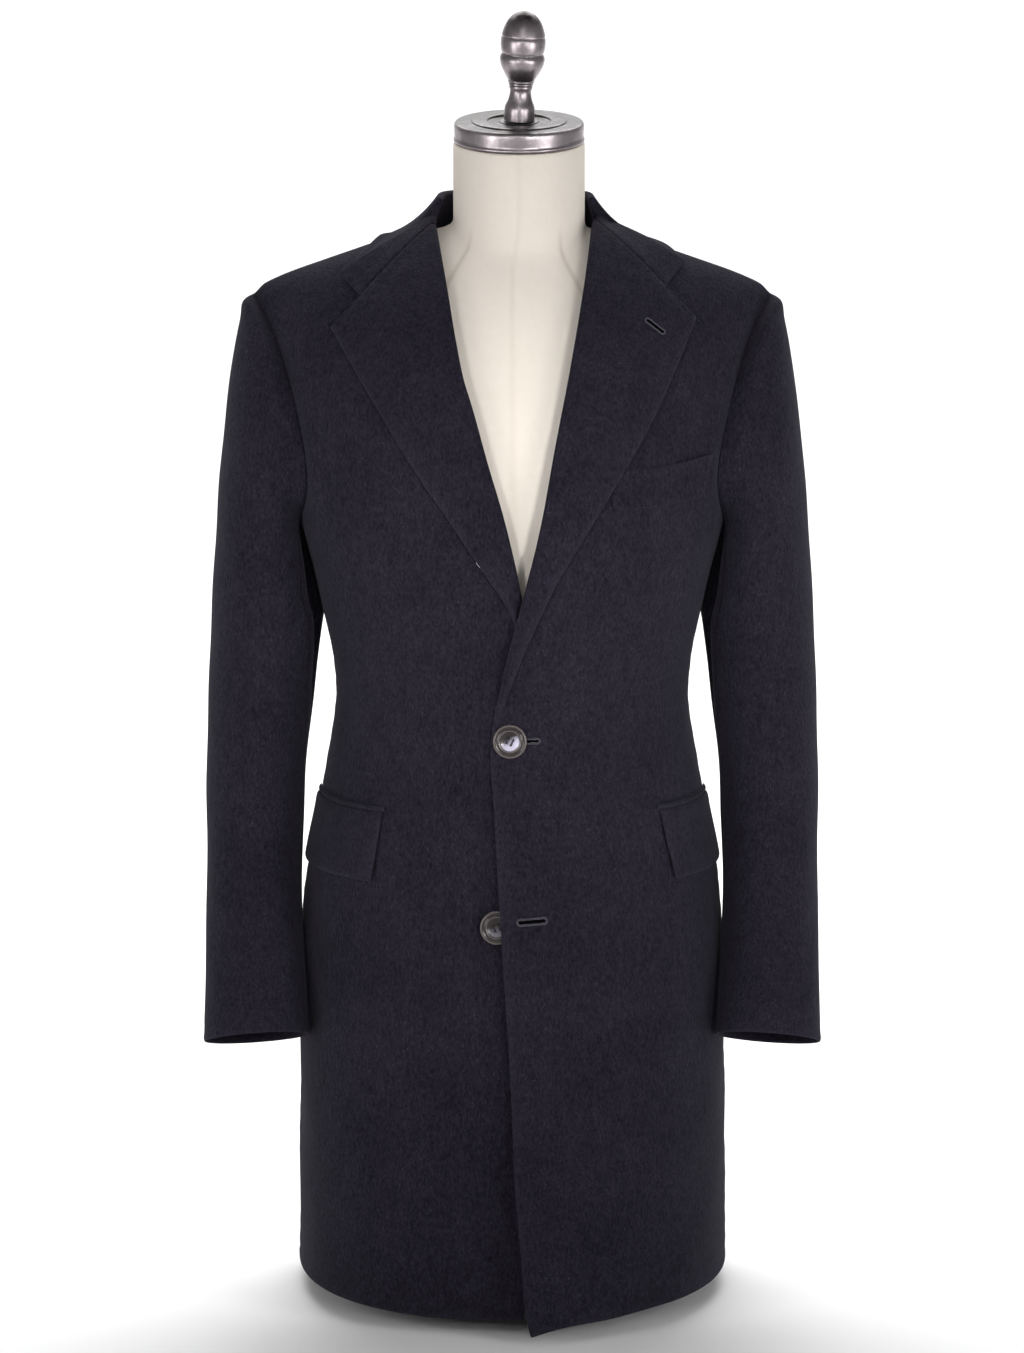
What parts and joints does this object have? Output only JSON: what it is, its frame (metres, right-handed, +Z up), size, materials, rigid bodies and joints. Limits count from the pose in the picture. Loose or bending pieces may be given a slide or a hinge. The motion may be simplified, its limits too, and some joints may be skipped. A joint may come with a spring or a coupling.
{
  "type": "wool overcoat on a dress form",
  "caption": "Single-breasted wool overcoat with notch lapels, a breast welt and flap pockets, buttoned at the waist over a limbless canvas dress form with a metal neck cap.",
  "frame": {"origin": "centre of the underside of the stand's round base, below the middle of the coat", "axes": "+X towards the wearer's left, -Y towards the front, +Z up"},
  "size_m": [0.558, 0.37, 1.1683],
  "materials": {
    "wool": "very dark navy brushed overcoating with a fine nap",
    "horn": "polished dark horn with paler streaks",
    "canvas": "smooth cream canvas",
    "metal": "satin pewter"
  },
  "bodies": {
    "root": {"left_front": "wool", "right_front": "wool", "left_back": "wool", "right_back": "wool", "left_lapel": "wool", "right_lapel": "wool", "collar": "wool", "left_top_sleeve": "wool", "right_top_sleeve": "wool", "left_under_sleeve": "wool", "right_under_sleeve": "wool", "left_jet": "wool", "right_jet": "wool", "left_flap": "wool", "right_flap": "wool", "breast_welt": "wool", "waist_button": "horn", "lower_button": "horn", "form_body": "canvas", "neck_cap": "metal", "finial": "metal", "pole": "metal", "stand_base": "metal"}
  },
  "joints": []
}
